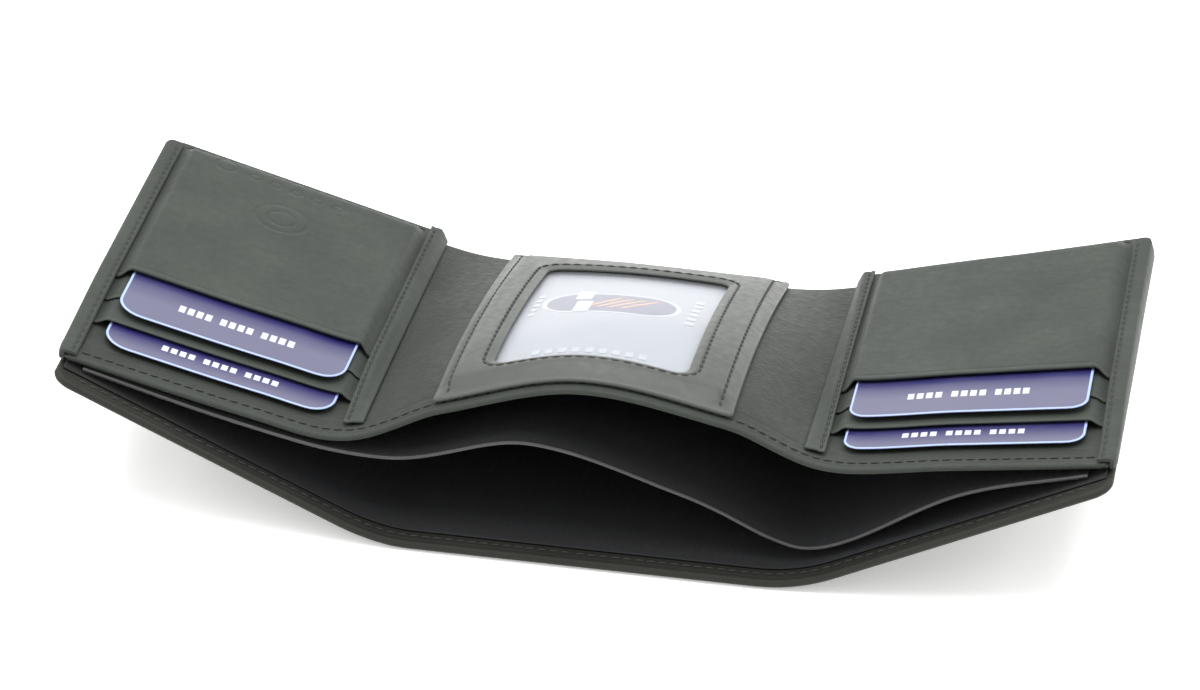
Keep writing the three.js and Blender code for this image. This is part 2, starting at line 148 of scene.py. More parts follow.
def place(sheet, x, v, lift):
    """Points of a sheet, raised by lift along its normal, in metres."""
    x, v = np.broadcast_arrays(np.asarray(x, float), np.asarray(v, float))
    e = 0.05
    n = np.cross(sheet(x + e, v) - sheet(x - e, v), sheet(x, v - e) - sheet(x, v + e))
    n /= np.linalg.norm(n, axis=-1, keepdims=True)
    return (sheet(x, v) + n * np.asarray(lift, float)[..., None]) / 1000


OPEN = {"card_back": 1.05, "back": 2.05, "middle": 2.75, "card_front": 3.85, "front": 4.85}
SHUT = {"back": 0.3, "middle": 1.0, "front": 1.7}


def openness(x, v):
    a = np.abs(x)
    return ease(a, 53.2, 56.3) * (1 - ease(a, 108.6, 111.7)) * ease(v, 0.5, 8)


def stack_at(v):
    return (
        0.3
        + 0.25 * ease(v, LINER - 6.0, LINER - 4.7)
        + 0.7 * (1 - ease(v, 87.5, 89.5))
        + 0.7 * (1 - ease(v, 77.9, 79.9))
        + 1.0 * (1 - ease(v, 68.3, 70.3))
    )


def smooth_stack(v):
    """The stack under the strips and bindings, without the steps at the mouths."""
    falling = mix(2.7, 0.55, ease(v, 66.0, 101.0)) * (1 - ease(v, 90, 104) * 0.3)
    return np.maximum(stack_at(v), falling)


def frame_bottom(x, v):
    middle = (1 - ease(np.abs(x), 28.0, 32.0)) * ease(v, 0.5, 8) * (1 - ease(v, 94.5, 100.2))
    return mix(0.2, 1.95, middle) + 0.3 * ease(v, 96.0, 99.5)


def ripple(x, v, seed):
    """Slow unevenness of hand-worked leather, from -1 to 1."""
    return (
        np.sin(x * 0.21 + v * 0.13 + seed) * 0.4
        + np.sin(x * 0.09 - v * 0.17 + 2.1 * seed) * 0.35
        + np.sin(x * 0.43 + v * 0.31 + 0.7 * seed) * 0.15
        + np.sin(v * 0.52 - x * 0.11 + seed) * 0.1
    )


def crease(a, at, depth, width=0.32):
    return depth * np.exp(-(((a - at) / width) ** 2))


def cover_top(x, v):
    hem = HEM_RISE * ease(v, DEPTH - HEM - 0.15, DEPTH - HEM + 0.25)
    return COVER_T + hem - crease(v, DEPTH - 1.6, 0.12) - crease(v, DEPTH - HEM - 0.3, 0.1)


def liner_top(x, v):
    hem = HEM_RISE * ease(v, LINER - HEM - 0.1, LINER - HEM + 0.3)
    return hem - crease(v, LINER - 7.4, 0.14) - crease(v, LINER - 1.2, 0.1) - crease(v, LINER - 3.1, 0.1)


def far_edge_top(x, v):
    return 3.55 + 0.25 * ease(np.abs(x), 48, 60)


def strip_bottom(x, v):
    return mix(0.08, smooth_stack(v), ease(np.abs(x), 48.2, 50.9))


def strip_top(x, v):
    rise = ease(np.abs(x), 47.9, 50.8)
    return mix(0.8, smooth_stack(v) + STRIP_T, rise) - crease(np.abs(x), 51.9, 0.2, 0.3)


def on_strip(x, v):
    return smooth_stack(v) + STRIP_T - 0.12


def on_front_pocket(x, v):
    return mix(SHUT["front"], OPEN["front"], openness(x, v)) + FRONT_T - 0.02


def on_frame(x, v):
    return frame_bottom(x, v) + FRAME_T - 0.12


def on_frame_edge(x, v):
    return frame_bottom(x, v) + FRAME_T - 0.05


# ------------------------------------------------------------------ meshes
def finish_mesh(name, verts, faces, mats, uv, wear, flat_faces=(), face_mats=None):
    me = bpy.data.meshes.new(name)
    me.from_pydata([tuple(p) for p in verts], [], faces)
    me.validate(clean_customdata=False)
    smooth = np.ones(len(me.polygons), bool)
    if len(flat_faces):
        smooth[np.array(list(flat_faces))] = False
    me.polygons.foreach_set("use_smooth", smooth)
    if len(flat_faces):
        hard = {k for f in flat_faces for k in me.polygons[f].edge_keys}
        sharp = np.array([tuple(sorted(e.vertices)) in hard for e in me.edges], bool)
        me.edges.foreach_set("use_edge_sharp", sharp)
    for m in mats if isinstance(mats, (list, tuple)) else [mats]:
        me.materials.append(m)
    if face_mats is not None:
        me.polygons.foreach_set("material_index", np.asarray(face_mats, np.int32))
    layer = me.uv_layers.new(name="UVMap")
    loops = np.zeros(len(me.loops), np.int32)
    me.loops.foreach_get("vertex_index", loops)
    layer.data.foreach_set("uv", np.asarray(uv, np.float32)[loops].ravel())
    me.attributes.new("wear", "FLOAT", "POINT").data.foreach_set("value", np.asarray(wear, np.float32))
    me.update()
    ob = bpy.data.objects.new(name, me)
    bpy.context.scene.collection.objects.link(ob)
    return ob


def lines(a, b, step, round_a=0.0, round_b=0.0, extra=(), around=()):
    """Grid lines from a to b, close together where an edge is rounded and around a groove."""
    out = list(np.linspace(a, b, max(2, int(abs(b - a) / step) + 2)))
    for r, at, way in ((round_a, a, 1), (round_b, b, -1)):
        if r:
            out = [p for p in out if abs(p - at) > r * 1.15 or p == at]
            out += [at + way * r * k for k in (0.07, 0.28, 0.6, 1.0)]
    for c in around:
        out = [p for p in out if abs(p - c) > 0.75 or p in (a, b)]
        out += [c + k for k in (-0.7, -0.4, -0.2, 0, 0.2, 0.4, 0.7)]
    out += list(extra)
    out = sorted(p for p in out if a - 1e-9 <= p <= b + 1e-9)
    kept = [out[0]]
    for p in out[1:]:
        if p - kept[-1] > 0.015:
            kept.append(p)
    kept[-1] = b
    return np.array(kept)


def patch(
    name, sheet, xs, vs, bottom, top, mats, corner=(0, 0, 0, 0), soft=(1, 1, 1, 1), paint=None, shear=0.0
):
    """A closed slab bent onto a sheet, with its low x, high x, far and near edges rounded where soft is 1."""
    x, v = np.meshgrid(xs, vs, indexing="ij")
    flat_x, flat_v = x, v
    x0, x1, v0, v1 = xs[0], xs[-1], vs[0], vs[-1]
    d = np.full(x.shape, 1e6)
    for on, gap in zip(soft, (x - x0, x1 - x, v - v0, v1 - v)):
        if on:
            d = np.minimum(d, gap)
    corners = zip(corner, (x0, x1, x1, x0), (v0, v0, v1, v1), (1, -1, -1, 1), (1, 1, -1, -1))
    for r, cx, cv, sx, sv in corners:
        if r:
            a, b = 1 - (x - cx) * sx / r, 1 - (v - cv) * sv / r
            inside = (a > 0) & (b > 0)
            k = np.where(inside, np.maximum(a, b) / np.maximum(np.hypot(a, b), 1e-9), 1)
            x = np.where(inside, cx + sx * r * (1 - a * k), x)
            v = np.where(inside, cv + sv * r * (1 - b * k), v)
    x = x + shear * (v - v0)
    lo = bottom(x, v) if callable(bottom) else np.full(x.shape, float(bottom))
    hi = top(x, v) if callable(top) else np.full(x.shape, float(top))
    half, middle = (hi - lo) / 2, (hi + lo) / 2
    r = np.maximum(half, 1e-6)
    f = np.maximum(np.sqrt(1 - (1 - np.minimum(d / r, 1)) ** 2), 0.25)
    up, down = place(sheet, x, v, middle + half * f), place(sheet, x, v, middle - half * f)
    nx, nv = x.shape
    n = nx * nv
    verts = np.concatenate([up.reshape(-1, 3), down.reshape(-1, 3)])
    at = lambda i, j: i * nv + j
    faces, fm, flats = [], [], []
    for i in range(nx - 1):
        for j in range(nv - 1):
            q = (at(i, j), at(i, j + 1), at(i + 1, j + 1), at(i + 1, j))
            faces.append(q)
            fm.append(paint(flat_x[i : i + 2, j].mean(), flat_v[i, j : j + 2].mean()) if paint else 0)
            faces.append(tuple(k + n for k in reversed(q)))
            fm.append(0)
    rim = (
        [(at(i, 0), at(i + 1, 0), 2) for i in range(nx - 1)]
        + [(at(nx - 1, j), at(nx - 1, j + 1), 1) for j in range(nv - 1)]
        + [(at(i + 1, nv - 1), at(i, nv - 1), 3) for i in range(nx - 1)]
        + [(at(0, j + 1), at(0, j), 0) for j in range(nv - 1)]
    )
    for a, b, which in rim:
        if not soft[which]:
            flats.append(len(faces))
        faces.append((a, b, b + n, a + n))
        fm.append(0)
    uv = np.stack([x / 100, v / 100], -1).reshape(-1, 2)
    wear = np.exp(-np.minimum(d, 50) / 1.1).reshape(-1)
    uv, wear = np.concatenate([uv, uv + 0.37]), np.concatenate([wear, wear])
    return finish_mesh(name, verts, faces, mats, uv, wear, flats, fm)


def tube(name, rings, mats, wear=0.3):
    """A closed solid through rings of points, in metres, capped at both ends."""
    rings = np.asarray(rings, float)
    k, m = rings.shape[:2]
    verts = list(rings.reshape(-1, 3))
    faces = [
        (i * m + j, i * m + (j + 1) % m, (i + 1) * m + (j + 1) % m, (i + 1) * m + j)
        for i in range(k - 1)
        for j in range(m)
    ]
    flats = [len(faces), len(faces) + 1]
    faces += [tuple(range(m - 1, -1, -1)), tuple(range((k - 1) * m, k * m))]
    uv = [(i * 0.01, j / m * 0.05) for i in range(k) for j in range(m)]
    return finish_mesh(name, verts, faces, mats, uv, [wear] * len(verts), flats)


def frames_along(sheet, xs, vs, lift):
    """Points and directions (along, aside, up) of a path on a sheet."""
    xs, vs = np.asarray(xs, float), np.asarray(vs, float)
    p = place(sheet, xs, vs, lift)
    up = place(sheet, xs, vs, lift + 1.0) - p
    up /= np.linalg.norm(up, axis=1, keepdims=True)
    along = np.gradient(p, axis=0)
    along -= up * (along * up).sum(1, keepdims=True)
    along /= np.linalg.norm(along, axis=1, keepdims=True)
    return p, along, np.cross(up, along), up


def stitches(name, sheet, xs, vs, lift, mat):
    """One row of thread along a path: short rounded stitches that dip into the leather at both ends."""
    fine = np.linspace(0, 1, 1400)
    own = np.linspace(0, 1, len(xs))
    fx, fv = np.interp(fine, own, xs), np.interp(fine, own, vs)
    lifts = lift(fx, fv) if callable(lift) else np.full(fx.shape, float(lift))
    p, along, aside, up = frames_along(sheet, fx, fv, lifts)
    run = np.concatenate([[0], np.cumsum(np.linalg.norm(np.diff(p, axis=0), axis=1))])
    count = max(1, int(round(run[-1] * 1000 / STITCH_PITCH)))
    step = run[-1] / count
    verts, faces, uv, wear = [], [], [], []
    around = 6
    cuts = np.array([-1, -0.93, -0.75, -0.35, 0, 0.35, 0.75, 0.93, 1])
    size = np.array([0.15, 0.5, 0.82, 1, 1, 1, 0.82, 0.5, 0.15])
    sink = np.array([-0.22, -0.12, -0.03, 0.03, 0.05, 0.03, -0.03, -0.12, -0.22])
    for c in range(count):
        base, mid = len(verts), (c + 0.5) * step
        for t, s, z in zip(cuts, size, sink):
            at = mid + t * step * STITCH_SHARE / 2
            i = min(len(run) - 1, int(np.searchsorted(run, at)))
            centre = p[i] + along[i] * (at - run[i]) + aside[i] * STITCH_SLANT * t / 1000
            centre = centre + up[i] * (z + STITCH_TALL * 0.35) / 1000
            for j in range(around):
                a = 2 * math.pi * j / around
                out = aside[i] * math.cos(a) * STITCH_WIDE * s + up[i] * math.sin(a) * STITCH_TALL * s
                verts.append(centre + out / 1000)
                uv.append((at * 10, j / around * 0.02))
                wear.append(max(0, math.sin(a)) * 0.5)
        for i in range(len(cuts) - 1):
            for j in range(around):
                k = (j + 1) % around
                a, b = base + i * around, base + (i + 1) * around
                faces.append((a + j, a + k, b + k, b + j))
        faces.append(tuple(base + j for j in range(around - 1, -1, -1)))
        faces.append(tuple(base + (len(cuts) - 1) * around + j for j in range(around)))
    return finish_mesh(name, verts, faces, mat, uv, wear)


# ------------------------------------------------------------------ materials
class Look:
    """A procedural material on the UV map, whose unit is 100 mm."""

    def __init__(self, name, roughness=0.5, **sockets):
        self.m = bpy.data.materials.new(name)
        self.m.use_nodes = True
        self.nt = self.m.node_tree
        self.n, self.l = self.nt.nodes, self.nt.links
        self.bsdf = self.n["Principled BSDF"]
        self.bsdf.inputs["Roughness"].default_value = roughness
        for k, val in sockets.items():
            self.bsdf.inputs[k.replace("_", " ")].default_value = val
        self.uv = self.n.new("ShaderNodeTexCoord").outputs["UV"]

    def scaled(self, x=1.0, y=1.0):
        node = self.n.new("ShaderNodeMapping")
        node.inputs["Scale"].default_value = (x, y, 1)
        self.l.new(self.uv, node.inputs["Vector"])
        return node.outputs["Vector"]

    def noise(self, scale, detail=3.0, x=1.0, y=1.0):
        node = self.n.new("ShaderNodeTexNoise")
        node.inputs["Scale"].default_value = scale
        node.inputs["Detail"].default_value = detail
        node.inputs["Roughness"].default_value = 0.55
        self.l.new(self.scaled(x, y), node.inputs["Vector"])
        return node.outputs["Fac"]

    def cells(self, scale):
        node = self.n.new("ShaderNodeTexVoronoi")
        node.inputs["Scale"].default_value = scale
        self.l.new(self.uv, node.inputs["Vector"])
        return node.outputs["Distance"]

    def waves(self, scale, way):
        node = self.n.new("ShaderNodeTexWave")
        node.bands_direction = way
        node.inputs["Scale"].default_value = scale
        self.l.new(self.uv, node.inputs["Vector"])
        return node.outputs["Fac"]

    def down(self):
        """The place down the panel, from the far edge, in units of 100 mm."""
        node = self.n.new("ShaderNodeSeparateXYZ")
        self.l.new(self.uv, node.inputs[0])
        return node.outputs["Y"]

    def ring(self, x, v, radius, width):
        """Low on a ring pressed round a point, in mm, and high elsewhere."""
        gap = self.n.new("ShaderNodeVectorMath")
        gap.operation = "DISTANCE"
        gap.inputs[1].default_value = (x / 100, v / 100, 0)
        self.l.new(self.uv, gap.inputs[0])
        off = self.n.new("ShaderNodeMath")
        off.operation = "SUBTRACT"
        off.inputs[1].default_value = radius / 100
        self.l.new(gap.outputs["Value"], off.inputs[0])
        size = self.n.new("ShaderNodeMath")
        size.operation = "ABSOLUTE"
        self.l.new(off.outputs[0], size.inputs[0])
        return self.fit(size.outputs[0], width * 0.3 / 100, width / 100, 0, 1)

    def attribute(self, name):
        node = self.n.new("ShaderNodeAttribute")
        node.attribute_name = name
        return node.outputs["Fac"]

    def fit(self, value, lo, hi, a, b):
        node = self.n.new("ShaderNodeMapRange")
        for key, val in zip(("From Min", "From Max", "To Min", "To Max"), (lo, hi, a, b)):
            node.inputs[key].default_value = val
        self.l.new(value, node.inputs["Value"])
        return node.outputs["Result"]

    def blend(self, fac, a, b):
        node = self.n.new("ShaderNodeMix")
        node.data_type = "RGBA"
        for key, val in ((6, a), (7, b)):
            if isinstance(val, tuple):
                node.inputs[key].default_value = (*val, 1)
            else:
                self.l.new(val, node.inputs[key])
        self.l.new(fac, node.inputs[0])
        return node.outputs[2]

    def colour(self, value):
        self.l.new(value, self.bsdf.inputs["Base Color"])

    def rough(self, value):
        self.l.new(value, self.bsdf.inputs["Roughness"])

    def bump(self, *heights):
        """Each height is (socket, strength, distance in mm)."""
        last = None
        for value, strength, distance in heights:
            node = self.n.new("ShaderNodeBump")
            node.inputs["Strength"].default_value = strength
            node.inputs["Distance"].default_value = distance / 1000
            self.l.new(value, node.inputs["Height"])
            if last:
                self.l.new(last, node.inputs["Normal"])
            last = node.outputs["Normal"]
        self.l.new(last, self.bsdf.inputs["Normal"])


def card_face(name, mouth, reach):
    """Card plastic, with a painted shadow where it comes out of the pocket, fading to its pale colour towards
    its end.
    """
    look = Look(name, 0.33)
    # painted shadow of the pocket's edge: dark blue just past the mouth, gone by reach mm from it
    shade = look.fit(look.down(), (mouth + 1.0) / 100, (mouth + reach) / 100, 0, 1)
    c = look.blend(shade, (0.016, 0.014, 0.085), (0.100, 0.099, 0.160))
    c = look.blend(look.fit(look.noise(6.0, 3.0), 0.35, 0.65, 0, 0.3), c, (0.08, 0.08, 0.155))
    look.colour(c)
    look.bump((look.noise(160.0, 2.0), 0.12, 0.02))
    return look.m


def times(c, k):
    return tuple(x * k for x in c)


def leather(name, base, roughness, grain=150.0, depth=0.1, sheen=0.1, specular=0.4, worn=1.5, marks=()):
    look = Look(name, roughness)
    look.bsdf.inputs["Sheen Weight"].default_value = sheen
    look.bsdf.inputs["Sheen Roughness"].default_value = 0.5
    look.bsdf.inputs["Specular IOR Level"].default_value = specular
    broad = look.noise(5.0, 4.0)
    mottled = look.noise(45.0, 3.0)
    c = look.blend(look.fit(broad, 0.3, 0.7, 0, 1), times(base, 0.78), times(base, 1.2))
    c = look.blend(look.fit(mottled, 0.35, 0.75, 0.0, 0.35), c, times(base, 0.78))
    c = look.blend(look.fit(look.attribute("wear"), 0.15, 1.0, 0.0, 0.55), c, times(base, worn))
    look.colour(c)
    look.rough(look.fit(mottled, 0.3, 0.7, roughness - 0.06, roughness + 0.08))
    pebble = look.cells(grain)
    pores = look.noise(grain * 2.4, 2.0)
    pressed = [(look.ring(*m), 0.8, 0.22) for m in marks]
    look.bump((pebble, 0.5, depth), (pores, 0.35, depth * 0.6), (broad, 0.3, 0.5), *pressed)
    return look.m


def cloth(name, base):
    look = Look(name, 0.62)
    look.bsdf.inputs["Sheen Weight"].default_value = 0.05
    look.bsdf.inputs["Specular IOR Level"].default_value = 0.3
    streaks = look.noise(9.0, 3.0, x=0.25, y=3.0)
    c = look.blend(look.fit(streaks, 0.45, 0.75, 0, 1), base, (base[0] * 1.8, base[1] * 2.1, base[2] * 2.9))
    ribs = 81.0
    warp, weft = look.waves(ribs, "X"), look.waves(ribs, "Y")
    c = look.blend(look.fit(weft, 0, 1, 0, 0.45), c, times(base, 0.5))
    look.colour(c)
    look.bump((weft, 0.7, 0.12), (warp, 0.4, 0.08))
    return look.m


def plain(name, base, roughness, vary=0.05, fine=200.0, **sockets):
    look = Look(name, roughness, **sockets)
    c = look.blend(look.noise(8.0, 3.0), times(base, 1 - vary), times(base, 1 + vary))
    look.colour(c)
    look.bump((look.noise(fine, 2.0), 0.15, 0.02))
    return look.m


PANEL = dict(base=(0.0325, 0.0385, 0.0325), roughness=0.6, grain=230, depth=0.05, sheen=0.05, specular=0.2)
MARKS = (  # rings pressed into the left front pocket: x, distance from the far edge, radius, width
    (-84, 25, 6.0, 0.8), (-84, 25, 3.2, 0.8), (-100.5, 9.5, 2.4, 0.7), (-93.5, 10.5, 1.2, 0.6),
    (-88.5, 10.9, 1.2, 0.6), (-83.5, 11.3, 1.2, 0.6), (-78.5, 11.7, 1.2, 0.6), (-73.5, 12.1, 1.2, 0.6),
)
SMOOTH = leather("smooth_leather", **PANEL)
MARKED = leather("embossed_leather", **PANEL, marks=MARKS)
COVER = leather(
    "cover_leather", (0.014, 0.0145, 0.0115), 0.56, grain=170, depth=0.08, sheen=0.03, specular=0.16, worn=2.0
)
GRAINED = leather(
    "grained_leather", (0.0265, 0.0305, 0.026), 0.55, grain=105, depth=0.17, sheen=0.03, specular=0.2
)
GLOSSY = leather(
    "frame_leather", (0.052, 0.0575, 0.051), 0.44, grain=260, depth=0.035, sheen=0.05, specular=0.36
)
LINING = cloth("lining_fabric", (0.0045, 0.0050, 0.0052))
THREAD = plain("waxed_thread", (0.010, 0.0105, 0.010), 0.6, 0.2, 900.0)
EDGE = leather("divider_edge", (0.040, 0.041, 0.039), 0.42, grain=300, depth=0.03)
CARD = card_face("front_card_plastic", 68.0, 8.5)
CARD_LOW = card_face("back_card_plastic", 87.2, 6.5)
CARD_PALE = plain("card_border", (0.30, 0.38, 0.60), 0.34)
CARD_WHITE = plain("card_print", (0.50, 0.51, 0.56), 0.34)
INSERT = plain("insert_card", (0.225, 0.238, 0.268), 0.42, 0.03)
INK = plain("insert_emblem", (0.055, 0.057, 0.105), 0.4)
ORANGE = plain("insert_stripe", (0.40, 0.20, 0.09), 0.4)
EMBOSS = plain("insert_relief", (0.30, 0.315, 0.345), 0.36, 0.02)
FILM = plain("clear_film", (0.85, 0.88, 0.92), 0.07, 0.01, 60.0, Alpha=0.10, Specular_IOR_Level=0.6)

CREASED = tuple(np.arange(34.6, 54.4, 0.66))  # closer grid lines where the layers fold
OPENING = (53.2, 53.9, 54.7, 55.5, 56.3, 108.6, 109.4, 110.2, 111.0, 111.7)  # and where the pockets part
ABOUT = {  # where each layer starts and ends its bend, as distances from the middle
    "cover": {"left": (38, 48), "right": (38, 54)},
    "divider": {"left": (36, 48), "right": (36, 48)},
    "liner": {"left": (34.4, 48), "right": (34.4, 48)},
}


def fold(ob, layer, word):
    a, b = ABOUT[layer][word]
    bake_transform(ob)


def sided(word, values):
    s = SIDES[word]
    return np.sort(np.asarray(values) * s)


def outer(word, far, near):
    """Corner radii and rounded edges of a half that ends in the middle on one side."""
    if word == "left":
        return (far, 0, 0, near), (1, 0, 1, 1)
    return (0, far, near, 0), (0, 1, 1, 1)


# ------------------------------------------------------------------ cover, lining, divider and liner
for word, s in SIDES.items():
    corner, soft = outer(word, 4.0, 4.0)
    xs = sided(word, lines(0, LENGTH, 1.6, 0, 0.8, extra=(112.0, 113.3, 114.6, *CREASED)))
    vs = lines(
        0, DEPTH, 1.8, 0.8, 0.8, extra=(1.3, 2.7, 4.0, 106.0, 107.3, 108.7),
        around=(DEPTH - HEM, DEPTH - 1.6, DEPTH - 3.0),
    )
    ob = patch(f"leather_cover_{word}", cover, xs, vs, 0.0, cover_top, COVER, corner, soft)
    fold(ob, "cover", word)
    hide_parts(f"cover_{word}", f"cover_fold_{word}", "cover_centre")

    soft_lining = (1, 0, 1, 1) if word == "left" else (0, 1, 1, 1)
    ob = patch(
        f"fabric_lining_{word}", cover, sided(word, lines(0, POCKET_OUT, 1.8, 0, 0.2, extra=CREASED)),
        lines(0.3, DEPTH - HEM - 0.3, 2.2, 0.2, 0.2), COVER_T + LINING_GAP, COVER_STACK, LINING,
        soft=soft_lining,
    )
    fold(ob, "cover", word)
    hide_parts(f"lining_{word}", f"lining_fold_{word}", "lining_centre")

    # the layers are sewn together along the far edge, so nothing shows between them
    ob = patch(
        f"leather_far_edge_{word}", cover, sided(word, lines(0, 114.2, 1.8, 0, 0.2, extra=CREASED)),
        lines(0.12, 1.0, 0.4), 1.45, far_edge_top, COVER, soft=(0, 0, 0, 0),
    )
    fold(ob, "cover", word)

    div = patch(
        f"fabric_divider_{word}", divider, sided(word, lines(0, DIVIDER_END, 1.6, 0, 0.3, extra=CREASED)),
        lines(0, DIVIDER, 1.8, 0.3, 0.3), -DIVIDER_T / 2, DIVIDER_T / 2, LINING, soft=soft_lining,
    )
    fold(div, "divider", word)
    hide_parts(f"divider_{word}", f"divider_fold_{word}", "divider_centre")

    px = sided(word, lines(0, DIVIDER_END, 1.3, extra=CREASED))
    p, along, aside, up = frames_along(divider, px, np.full(px.shape, DIVIDER), 0.0 * px)
    angles = np.linspace(0, 2 * math.pi, 11)[:-1]
    rings = [
        [c + (a * math.cos(t) * 0.34 + u * math.sin(t) * 0.40) / 1000 for t in angles]
        for c, a, u in zip(p, aside, up)
    ]
    piping = tube(f"divider_piping_{word}", rings, EDGE)
    fold(piping, "divider", word)

    xs = sided(word, lines(0, POCKET_OUT, 1.3, 0, 0.6, extra=(111.0, 112.3, 113.5, *CREASED)))
    vs = lines(0, LINER, 1.5, 0.5, 0.6, around=(LINER - HEM, LINER - 3.1, LINER - 1.2, LINER - 7.4))
    corner, soft = outer(word, 3.5, 2.5)
    ob = patch(f"leather_liner_{word}", liner, xs, vs, -LINER_T, liner_top, GRAINED, corner, soft)
    fold(ob, "liner", word)
    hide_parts(f"liner_{word}", f"liner_fold_{word}", "liner_centre")

    row = np.linspace(0.4, 111.4, 60) * s
    at = np.full(row.shape, LINER - 3.1)
    ob = stitches(f"hem_stitches_{word}", liner, row, at, HEM_RISE - 0.02, THREAD)
    fold(ob, "liner", word)
    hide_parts(f"hem_seam_{word}", "hem_seam_centre")
    row = np.linspace(0.4, 111.0, 60) * s
    at = np.full(row.shape, DEPTH - 3.0)
    ob = stitches(f"cover_hem_stitches_{word}", cover, row, at, COVER_T + HEM_RISE - 0.02, THREAD)
    fold(ob, "cover", word)

# ------------------------------------------------------------------ wings: pockets, strips, bindings, threads
for word, s in SIDES.items():
    wing = f"{word}_wing"
    corner = (3.0, 0, 0, 0) if word == "left" else (0, 3.0, 0, 0)
    for key, thick, seed in (("back", POCKET_T, 0.4), ("middle", POCKET_T, 1.7), ("front", FRONT_T, 3.1)):
        front = key == "front"
        mouth, half = MOUTHS[key], thick / 2
        uneven, pressed = (0.10, 0.12) if front else (0.0, 0.07)

        def lift(x, v):
            return mix(SHUT[key], OPEN[key], openness(x, v))

        def top(x, v):
            groove = crease(v, mouth - 1.5, pressed, 0.25)
            return lift(x, v) + thick - groove + uneven * ripple(x, v, seed + s) * openness(x, v)

        xs = lines(50.9, POCKET_OUT, 1.25, half, half, extra=OPENING)
        vs = lines(
            0, mouth, 1.35, half, half, extra=(0.5, 1, 2, 3, 4.5, 6, 8),
            around=(mouth - (1.5 if front else 1.4),),
        )
        mat = MARKED if front and word == "left" else SMOOTH
        ob = patch(f"leather_pocket_{key}_{word}", liner, sided(word, xs), vs, lift, top, mat, corner)
        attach(ob, wing)
        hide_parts(f"pocket_{key}_{word}")

    steps = [m + k for m in MOUTHS.values() for k in (0.3, 0.8, 1.3, 1.8, 2.3)]
    xs = lines(STRIP_IN, STRIP_OUT, 0.45, 0.35, 0.35, around=(51.9,))
    vs = lines(0, 98, 1.6, 0.35, 0.35, extra=steps)
    ob = patch(f"leather_strip_{word}", liner, sided(word, xs), vs, strip_bottom, strip_top, SMOOTH)
    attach(ob, wing)
    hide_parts(f"edge_strip_{word}")
    row = np.linspace(1.0, 97.2, 50)
    ob = stitches(f"inner_stitches_{word}", liner, 51.95 * s + 0 * row, row, on_strip, THREAD)
    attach(ob, wing)
    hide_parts(f"inner_seam_{word}")

    # the cover's end turned up and over the pockets, swept along the side
    ends = [2.6, 3.2, 4.0, LINER - 6, LINER - 4.7, LINER - 2.5, LINER - 1.4, LINER - 0.8]
    vv = lines(2.2, LINER - 0.4, 1.5, extra=steps + ends)
    rings = []
    for v in vv:
        h = float(smooth_stack(np.array(v))) + STRIP_T
        turn = 1 - math.sqrt(max(0.0, 1 - max(0.0, (4.0 - v) / 4.0) ** 2))
        tuck = 1 - math.sqrt(max(0.0, 1 - max(0.0, (v - (LINER - 3.4)) / 3.4) ** 2))
        inset = 4.0 * turn * 0.8 + 1.3 * tuck
        section = [
            (BIND_IN, h - 0.66), (111.78, h - 0.36), (111.95, h - 0.10), (112.35, h + 0.02),
            (112.7, h - 0.02), (112.9, h - 0.13), (113.1, h - 0.02), (113.6, h + 0.06),
            (114.4, h + 0.05), (115.1, h - 0.04), (115.6, h - 0.26), (115.9, h - 0.62),
            (LENGTH, (h - 1.2) / 2 - 0.5), (115.9, -1.1), (115.55, -1.2), (115.2, -1.1),
            (115.12, -0.2), (115.1, h - 0.72), (113.4, h - 0.70),
        ]
        xx = np.array([a - inset * ease(a, 111.0, 115.0) for a, _ in section]) * s
        rings.append(place(liner, xx, np.full(xx.shape, v), np.array([b for _, b in section])))
    if s > 0:
        rings = [r[::-1] for r in rings]
    ob = tube(f"leather_binding_{word}", rings, SMOOTH, wear=0.25)
    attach(ob, wing)
    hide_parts(f"end_binding_{word}")
    row = np.linspace(4.2, LINER - 1.2, 50)
    ob = stitches(f"outer_stitches_{word}", liner, 112.9 * s + 0 * row, row, on_strip, THREAD)
    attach(ob, wing)
    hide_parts(f"outer_seam_{word}")
    row = np.linspace(STRIP_OUT + 0.6, 111.4, 40) * s
    ob = stitches(f"far_stitches_{word}", liner, row, 2.2 + 0 * row, on_front_pocket, THREAD)
    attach(ob, wing)

# ------------------------------------------------------------------ cards
for word, s in SIDES.items():
    for key, end in CARD_ENDS.items():
        front = key == "card_front"
        c = CARD_MIDDLE * s
        x0, x1, v0 = c - CARD_HALF, c + CARD_HALF, end - CARD_LENGTH
        gaps = [2.0 * k + 1.4 * (k // 4) for k in range(12)]
        bars = [(c - 13.4 + g, c - 12.0 + g) for g in gaps]
        lo = OPEN[key]
        text = (74.6, 77.4) if front else (88.7, 90.9)
        rim = 0.55

        def paint(x, v):
            if v > end - rim or x < x0 + rim or x > x1 - rim:
                return 1
            if text[0] < v < text[1] and any(a < x < b for a, b in bars):
                return 2
            return 0

        across = [q for b in bars for q in b]
        across += [x0 + rim, x1 - rim, x0 + 1.5, x0 + 3, x0 + 4.5, x1 - 1.5, x1 - 3, x1 - 4.5]
        along = (*text, end - rim, v0 + 1, v0 + 2, v0 + 3, end - 1.5, end - 3, end - 4.5)
        near = 6.0 if word == "left" else 4.0
        ob = patch(
            f"plastic_{key}_{word}", liner, lines(x0, x1, 1.6, 0.2, 0.2, extra=across),
            lines(v0, end, 1.8, 0.2, 0.2, extra=along), lo, lo + CARD_T,
            [CARD if front else CARD_LOW, CARD_PALE, CARD_WHITE], (4, 4, near, near), paint=paint,
        )
        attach(ob, f"{key}_{word}")
        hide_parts(f"{key}_{word}")

# ------------------------------------------------------------------ the centre: insert, film, frame
xs, vs = lines(-25.2, 25.2, 1.4, 0.25, 0.25), lines(11, 95.5, 1.6, 0.25, 0.25)
ob = patch("insert_card", liner, xs, vs, 0.5, 1.0, INSERT, (3, 3, 3, 3))
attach(ob, "centre")
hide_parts("id_card")


